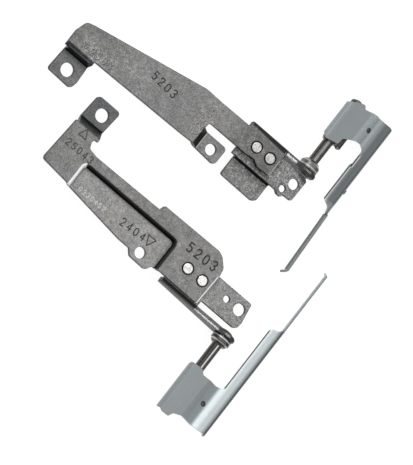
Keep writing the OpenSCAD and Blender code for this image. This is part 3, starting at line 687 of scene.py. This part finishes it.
# each digit is one line on a field 1 wide and 2 high
DIGITS = {
    "0": [(0, 0.5), (0, 1.5), (0.25, 1.9), (0.5, 2), (0.75, 1.9), (1, 1.5), (1, 0.5), (0.75, 0.1),
          (0.5, 0), (0.25, 0.1), (0, 0.5)],
    "2": [(0, 1.5), (0.15, 1.85), (0.5, 2), (0.85, 1.85), (1, 1.5), (0.9, 1.15), (0, 0), (1, 0)],
    "3": [(0, 1.75), (0.3, 2), (0.7, 2), (1, 1.6), (0.75, 1.1), (0.45, 1.05), (0.75, 1), (1, 0.5),
          (0.7, 0), (0.3, 0), (0, 0.3)],
    "4": [(0.75, 0), (0.75, 2), (0, 0.6), (1, 0.6)],
    "5": [(0.95, 2), (0.1, 2), (0.05, 1.15), (0.5, 1.25), (0.9, 1.05), (1, 0.6), (0.75, 0.1),
          (0.35, 0), (0, 0.25)],
}
DIGIT_STEP = 2.1         # from one digit to the next, in digit widths
TRIANGLE = [(-0.5, -0.45), (0.5, -0.45), (0, 0.55), (-0.5, -0.45)]

STROKE_FOOT = 0.006      # a stroke's outline above the face, mm
STROKE_TOP = 0.016       # its crest above the face, mm
STROKE_END = 0.35        # how far it runs past its end points, in widths
STROKE_CREST = 0.5       # the crest's share of the width
LIT_SHIFT = (-0.10, 0.05)    # from a pressed stroke to the lit one beside it, mm
LIT_LIFT = 0.004
LIT_WIDTH = 0.6          # the lit stroke's share of the width


def new_object(name, verts, faces, mat):
    """An object in the scene from points in metres."""
    mesh = bpy.data.meshes.new(name)
    mesh.from_pydata(verts, [], faces)
    mesh.materials.append(mat)
    made = bpy.data.objects.new(name, mesh)
    bpy.context.scene.collection.objects.link(made)
    return made


def rectangle(start, end, beyond, width, z):
    """Corners in metres of a straight stroke that runs past both its end points."""
    along = (end - start).normalized() * beyond
    side = Vector((end.y - start.y, start.x - end.x)).normalized() * width / 2
    corners = (start - along + side, end + along + side, end + along - side, start - along - side)
    return [(corner.x * MM, corner.y * MM, z * MM) for corner in corners]


def ribbon(name, lines, body, z, width, mat):
    """Raised strokes on a face: each line is a list of (x, y) points in mm in the part's frame."""
    verts, faces = [], []
    for line in lines:
        points = [Vector(point) for point in line]
        for start, end in zip(points, points[1:]):
            k = len(verts)
            verts += rectangle(start, end, width * STROKE_END, width, z + STROKE_FOOT)
            verts += rectangle(start, end, 0.0, width * STROKE_CREST, z + STROKE_TOP)
            faces.append((k + 4, k + 5, k + 6, k + 7))
            for a in range(4):
                b = (a + 1) % 4
                faces.append((k + a, k + b, k + 4 + b, k + 4 + a))
    o = new_object(name, verts, faces, mat)
    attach(o, body)


def placed(points, x, y, angle, size):
    c, s = math.cos(math.radians(angle)), math.sin(math.radians(angle))
    return [(x + size * (px * c - py * s), y + size * (px * s + py * c)) for px, py in points]


def number(digits, x, y, angle, size):
    """The lines of a number whose first digit starts at x, y; size is a digit's width."""
    places = placed([(DIGIT_STEP * i, 0) for i in range(len(digits))], x, y, angle, size)
    return [placed(DIGITS[d], px, py, angle, size) for d, (px, py) in zip(digits, places)]


def triangle(x, y, angle, size):
    return [placed(TRIANGLE, x, y, angle, size)]


def on_right(x, y):
    """A place on the right hinge, in the part's frame."""
    return x + RIGHT_ORIGIN[0], RIGHT_ORIGIN[1] - y


def pressed(name, lines, z, width):
    """A shallow stamping on the left hinge: a dark stroke with a lit one beside it."""
    ribbon(name + "_shade", lines, "bases", z, width, mark_mat)
    lit = [[(px + LIT_SHIFT[0], py + LIT_SHIFT[1]) for px, py in line] for line in lines]
    ribbon(name + "_light", lit, "bases", z + LIT_LIFT, width * LIT_WIDTH, lit_mat)


left_far_mark = triangle(-0.5, 5.7, 180, 1.5) + number("2503", 1.1, 5.0, 2, 0.72)
left_mid_mark = triangle(27.8, 6.8, -90, 1.5) + number("2404", 28.6, 8.1, 88, 0.72)
left_number = number("5203", 14.0, 9.6, -4, 0.85)
left_line = [[(-0.6, 7.7), (26.1, 7.7), (26.2, 11.1)]]
right_number = number("5203", *on_right(30.1, 10.1), 2, 0.98)
right_far_mark = triangle(*on_right(-1.1, 5.55), 0, 1.9) + number("25043", *on_right(-3.0, 9.6), 0, 0.7)
right_mid_mark = triangle(*on_right(23.4, 13.35), 180, 2.0) + number("2404", *on_right(16.3, 14.7), 3, 0.8)
right_print = number("0230452", *on_right(5.3, 14.95), 0, 0.5)

pressed("left_far_mark", left_far_mark, BASE_Z, 0.15)
pressed("left_mid_mark", left_mid_mark, BASE_Z, 0.15)
ribbon("left_number", left_number, "bases", BASE_Z, 0.26, mark_mat)
ribbon("right_number", right_number, "bases", BASE_Z, 0.32, mark_mat)
ribbon("right_far_mark", right_far_mark, "bases", BASE_Z, 0.27, soft_mat)
ribbon("right_mid_mark", right_mid_mark, "bases", PANEL_Z, 0.22, mark_mat)
ribbon("right_print", right_print, "bases", PANEL_Z, 0.16, print_mat)
ribbon("left_line", left_line, "bases", BASE_Z, 0.08, faint_mat)


# The small holes in the display brackets' slopes get dark discs: painted shade for their insides

PLUG_R = HOLE_R - 0.01
PLUG_SIDES = 16
PLUG_TOP = 0.62          # above the axis, at the hole's middle
PLUG_FOOT = 0.35


def slope_plug(name, body, side, mat):
    """A small dark disc of painted shade in the slope's hole, leaning as the slope does."""
    tilt = math.radians(side["tilt"])
    c, s = math.cos(tilt), math.sin(tilt)
    n = PLUG_SIDES
    verts = []
    for level in (PLUG_TOP, PLUG_FOOT):
        for i in range(n):
            turn = math.tau * i / n
            across = HOLE_X + PLUG_R * math.cos(turn)
            up = level - SLOPE_FALL * PLUG_R * math.cos(turn)
            x = side["axis_x"] + across * c - up * s
            y = side["hole_y"] + PLUG_R * math.sin(turn)
            z = AXIS_Z + across * s + up * c
            verts.append((x * MM, y * MM, z * MM))
    faces = [tuple(range(n)), tuple(range(2 * n - 1, n - 1, -1))]
    faces += [(i + n, (i + 1) % n + n, (i + 1) % n, i) for i in range(n)]
    o = new_object(name, verts, faces, mat)
    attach(o, body)


plug_mat = stroke("hole_shade", 0.06, 0.2)
slope_plug("left_slope_hole", "left_display", LEFT, plug_mat)
slope_plug("right_slope_hole", "right_display", RIGHT, plug_mat)


# Floor, light and camera

def floor():
    """A white ground on the table's level. Rays from the camera, mirrored and passed ones see it
    glow almost evenly white, as in the photograph, and all others see pale paint."""
    m = bpy.data.materials.new("floor")
    m.use_nodes = True
    tree = m.node_tree
    tree.nodes.clear()
    rays = add_node(tree, "ShaderNodeLightPath", {}).outputs
    seen = rays["Is Camera Ray"]
    for ray in ("Is Glossy Ray", "Is Transmission Ray"):
        seen = add_node(tree, "ShaderNodeMath", {0: seen, 1: rays[ray]}, operation="MAXIMUM").outputs[0]
    pale = add_node(tree, "ShaderNodeBsdfDiffuse", {0: (0.75, 0.75, 0.75, 1)}).outputs[0]
    dim = add_node(tree, "ShaderNodeBsdfDiffuse", {0: (0.14, 0.14, 0.14, 1)}).outputs[0]
    glow = add_node(tree, "ShaderNodeEmission", {1: 0.93}).outputs[0]
    white = add_node(tree, "ShaderNodeAddShader", {0: dim, 1: glow}).outputs[0]
    mixed = add_node(tree, "ShaderNodeMixShader", {0: seen, 1: pale, 2: white}).outputs[0]
    add_node(tree, "ShaderNodeOutputMaterial", {0: mixed})
    half = 3.0    # metres
    z = cad_box[0][2]
    corners = [(-half, -half, z), (half, -half, z), (half, half, z), (-half, half, z)]
    o = new_object("floor", corners, [(0, 1, 2, 3)], m)


def studio():
    """A sky that is bright above and dim beside and below; the camera sees plain white instead."""
    world = bpy.data.worlds.new("studio")
    bpy.context.scene.world = world
    world.use_nodes = True
    tree = world.node_tree
    tree.nodes.clear()
    direction = add_node(tree, "ShaderNodeTexCoord", {}).outputs["Generated"]
    height = add_node(tree, "ShaderNodeSeparateXYZ", {0: direction}).outputs[2]
    stops = ((0.0, (0.10, 0.10, 0.11, 1)), (0.35, (0.24, 0.24, 0.25, 1)),
             (0.7, (0.8, 0.8, 0.81, 1)), (1.0, (1.0, 1.0, 1.0, 1)))
    sky = add_node(tree, "ShaderNodeBackground", {0: color_ramp(tree, height, stops), 1: 1.0}).outputs[0]
    white = add_node(tree, "ShaderNodeBackground", {0: (1, 1, 1, 1)}).outputs[0]
    seen = add_node(tree, "ShaderNodeLightPath", {}).outputs["Is Camera Ray"]
    mixed = add_node(tree, "ShaderNodeMixShader", {0: seen, 1: sky, 2: white}).outputs[0]
    add_node(tree, "ShaderNodeOutputWorld", {0: mixed})


ARM = math.radians(39.3)          # how far the arms turn down from the picture's horizontal
LEAN = math.radians(18.0)         # how far the camera leans to the picture's left
PIXEL = 0.2                       # the width of the photograph's pixels, mm
PHOTO_HEIGHT = 465                # pixels
PHOTO_MIDDLE = (206.5, 232.5)     # pixels
PHOTO_ORIGIN = (66.6, 69.8)       # where the photograph shows the frame's origin, pixels
CAMERA_FAR = 2.0                  # metres
SENSOR = 24                       # the camera's own scale, mm; it cancels out in the lens


def camera():
    right = Vector((math.cos(LEAN) * math.cos(ARM), math.cos(LEAN) * math.sin(ARM), math.sin(LEAN)))
    up = Vector((-math.sin(ARM), math.cos(ARM), 0))
    back = right.cross(up)
    middle_right = PIXEL * (PHOTO_MIDDLE[0] - PHOTO_ORIGIN[0])
    middle_up = -PIXEL * (PHOTO_MIDDLE[1] - PHOTO_ORIGIN[1])
    aim = (right * middle_right + up * middle_up) * MM
    data = bpy.data.cameras.new("camera")
    data.sensor_fit = "VERTICAL"
    data.sensor_height = SENSOR
    data.lens = SENSOR * CAMERA_FAR / (PIXEL * PHOTO_HEIGHT * MM)
    data.clip_end = 20
    made = bpy.data.objects.new("camera", data)
    bpy.context.scene.collection.objects.link(made)
    turned = Matrix((right, up, back)).transposed()
    made.matrix_world = Matrix.Translation(aim + back * CAMERA_FAR) @ turned.to_4x4()
    bpy.context.scene.camera = made


LIGHT_AIM = Vector((0.03, 0, 0))    # metres


def area(name, at, size, power):
    """A rectangular lamp at a place in metres, facing the object."""
    data = bpy.data.lights.new(name, "AREA")
    data.shape = "RECTANGLE"
    data.size, data.size_y = size
    data.energy = power
    made = bpy.data.objects.new(name, data)
    bpy.context.scene.collection.objects.link(made)
    made.location = at
    made.rotation_euler = (LIGHT_AIM - Vector(at)).to_track_quat("-Z", "Y").to_euler()


floor()
studio()
camera()
area("key", (-0.42, 0.50, 0.66), (0.5, 0.5), 3.6)
area("side", (0.75, -0.15, 0.45), (0.25, 0.7), 0.9)

bpy.context.scene.view_settings.view_transform = "Standard"

bpy.context.view_layer.update()
